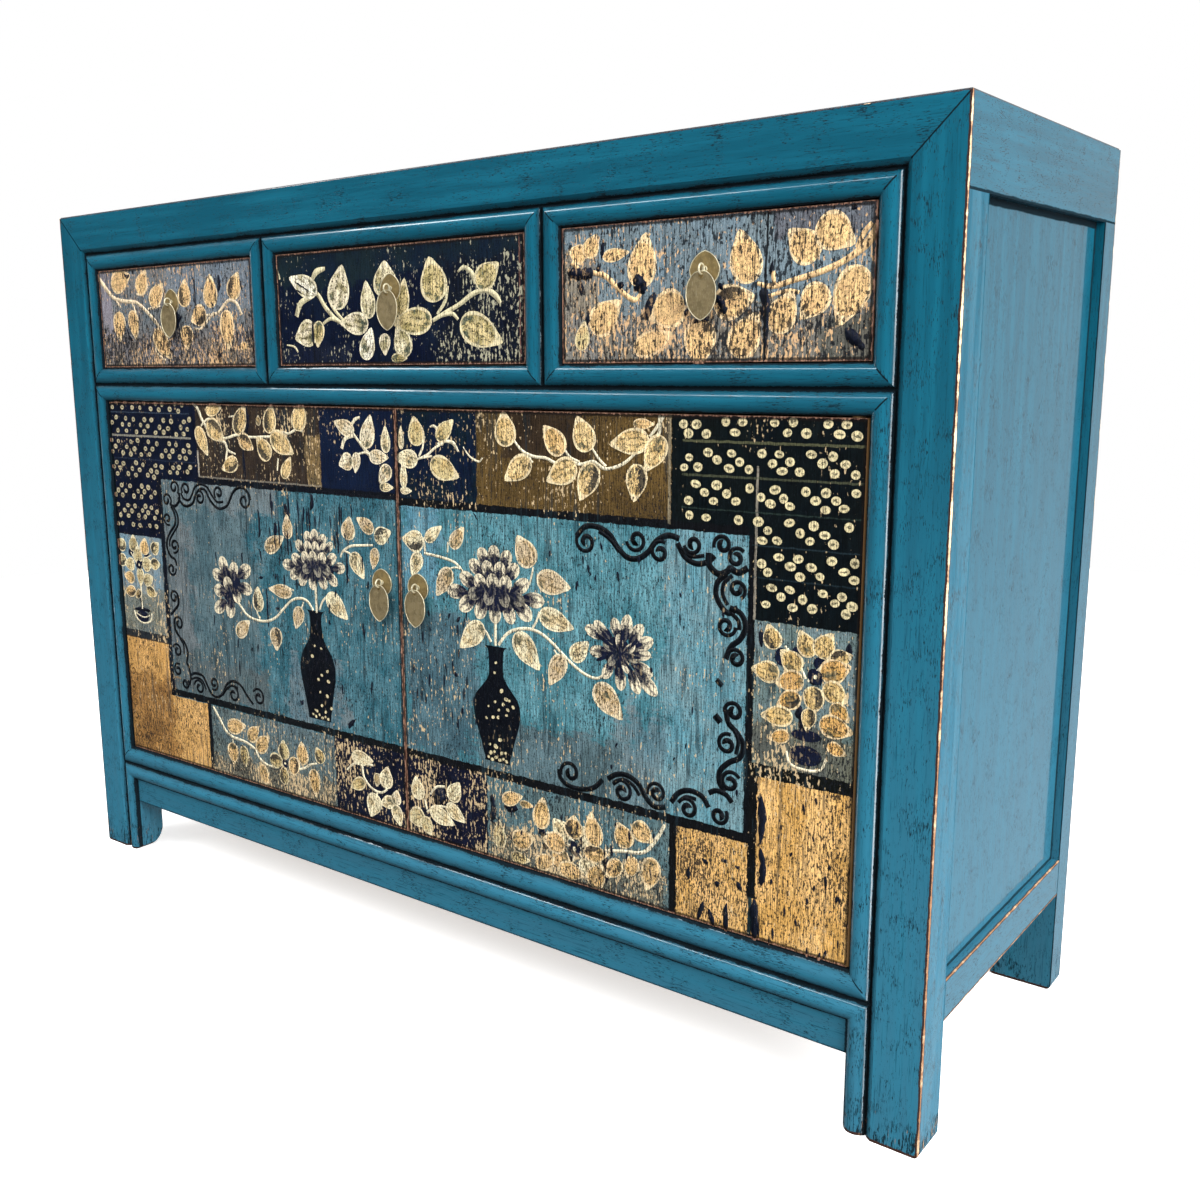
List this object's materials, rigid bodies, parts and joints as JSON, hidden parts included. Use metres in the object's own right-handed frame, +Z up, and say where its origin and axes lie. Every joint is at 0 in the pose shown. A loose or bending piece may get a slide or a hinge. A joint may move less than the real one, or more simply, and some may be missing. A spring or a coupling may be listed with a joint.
{
  "type": "sideboard",
  "caption": "Free-standing painted sideboard: beaded frame on square legs, drawers in a row above paired board doors on pivots, each front with a hanging leaf pull.",
  "frame": {"origin": "centre of the bounding box in plan, at floor level", "axes": "+Z up, -Y out of the front with its doors and drawers, +X to the right seen from the front"},
  "size_m": [1.19, 0.4056, 0.86],
  "materials": {
    "blue_lacquer": "glossy blue lacquer over wood, rubbed through at the edges",
    "painted_boards": "painted flower patchwork, worn and varnished",
    "bare_wood": "plain planed softwood",
    "aged_brass": "dull aged brass with brighter edges"
  },
  "bodies": {
    "carcass": {"apron": "blue_lacquer", "back_panel": "bare_wood", "bottom_board": "bare_wood", "bottom_front_rail": "blue_lacquer", "bottom_rear_rail": "blue_lacquer", "bottom_side_rail_left": "blue_lacquer", "bottom_side_rail_right": "blue_lacquer", "cupboard_battens": "bare_wood", "door_stops": "bare_wood", "drawer_divider_left": "blue_lacquer", "drawer_divider_right": "blue_lacquer", "drawer_guides": "bare_wood", "drawer_runners": "bare_wood", "middle_rail": "blue_lacquer", "middle_rear_rail": "bare_wood", "post_front_left": "blue_lacquer", "post_front_right": "blue_lacquer", "post_rear_left": "blue_lacquer", "post_rear_right": "blue_lacquer", "shelf": "bare_wood", "side_panel_left": "blue_lacquer", "side_panel_right": "blue_lacquer", "top_front_rail": "blue_lacquer", "top_panel": "blue_lacquer", "top_rear_rail": "blue_lacquer", "top_side_rail_left": "blue_lacquer", "top_side_rail_right": "blue_lacquer"},
    "drawer_left": {"drawer_left_back": "bare_wood", "drawer_left_bottom": "bare_wood", "drawer_left_front": "painted_boards", "drawer_left_pin": "aged_brass", "drawer_left_plate": "aged_brass", "drawer_left_sides": "bare_wood"},
    "drawer_left_pull": {"drawer_left_leaf": "aged_brass"},
    "drawer_middle": {"drawer_middle_back": "bare_wood", "drawer_middle_bottom": "bare_wood", "drawer_middle_front": "painted_boards", "drawer_middle_pin": "aged_brass", "drawer_middle_plate": "aged_brass", "drawer_middle_sides": "bare_wood"},
    "drawer_middle_pull": {"drawer_middle_leaf": "aged_brass"},
    "drawer_right": {"drawer_right_back": "bare_wood", "drawer_right_bottom": "bare_wood", "drawer_right_front": "painted_boards", "drawer_right_pin": "aged_brass", "drawer_right_plate": "aged_brass", "drawer_right_sides": "bare_wood"},
    "drawer_right_pull": {"drawer_right_leaf": "aged_brass"},
    "door_left": {"door_left_battens": "bare_wood", "door_left_boards": "painted_boards", "door_left_pin": "aged_brass", "door_left_pivots": "bare_wood", "door_left_plate": "aged_brass"},
    "door_left_pull": {"door_left_leaf": "aged_brass"},
    "door_right": {"door_right_battens": "bare_wood", "door_right_boards": "painted_boards", "door_right_pin": "aged_brass", "door_right_pivots": "bare_wood", "door_right_plate": "aged_brass"},
    "door_right_pull": {"door_right_leaf": "aged_brass"}
  },
  "joints": [
    {"name": "drawer_left_slide", "type": "slide", "parent": "carcass", "child": "drawer_left", "axis": [0, -1, 0], "range_m": [0, 0.26]},
    {"name": "drawer_middle_slide", "type": "slide", "parent": "carcass", "child": "drawer_middle", "axis": [0, -1, 0], "range_m": [0, 0.26]},
    {"name": "drawer_right_slide", "type": "slide", "parent": "carcass", "child": "drawer_right", "axis": [0, -1, 0], "range_m": [0, 0.26]},
    {"name": "door_left_hinge", "type": "hinge", "parent": "carcass", "child": "door_left", "pos_m": [-0.5115, -0.1832, 0.387], "axis": [0, 0, -1], "range_deg": [0, 110]},
    {"name": "door_right_hinge", "type": "hinge", "parent": "carcass", "child": "door_right", "pos_m": [0.5115, -0.1832, 0.387], "axis": [0, 0, 1], "range_deg": [0, 110]},
    {"name": "drawer_left_leaf_swing", "type": "hinge", "parent": "drawer_left", "child": "drawer_left_pull", "pos_m": [-0.3725, -0.1976, 0.745], "axis": [-1, 0, 0], "range_deg": [-6, 160]},
    {"name": "drawer_middle_leaf_swing", "type": "hinge", "parent": "drawer_middle", "child": "drawer_middle_pull", "pos_m": [0, -0.1976, 0.745], "axis": [-1, 0, 0], "range_deg": [-6, 160]},
    {"name": "drawer_right_leaf_swing", "type": "hinge", "parent": "drawer_right", "child": "drawer_right_pull", "pos_m": [0.3725, -0.1976, 0.745], "axis": [-1, 0, 0], "range_deg": [-6, 160]},
    {"name": "door_left_leaf_swing", "type": "hinge", "parent": "door_left", "child": "door_left_pull", "pos_m": [-0.027, -0.1976, 0.433], "axis": [-1, 0, 0], "range_deg": [-6, 160]},
    {"name": "door_right_leaf_swing", "type": "hinge", "parent": "door_right", "child": "door_right_pull", "pos_m": [0.027, -0.1976, 0.433], "axis": [-1, 0, 0], "range_deg": [-6, 160]}
  ]
}
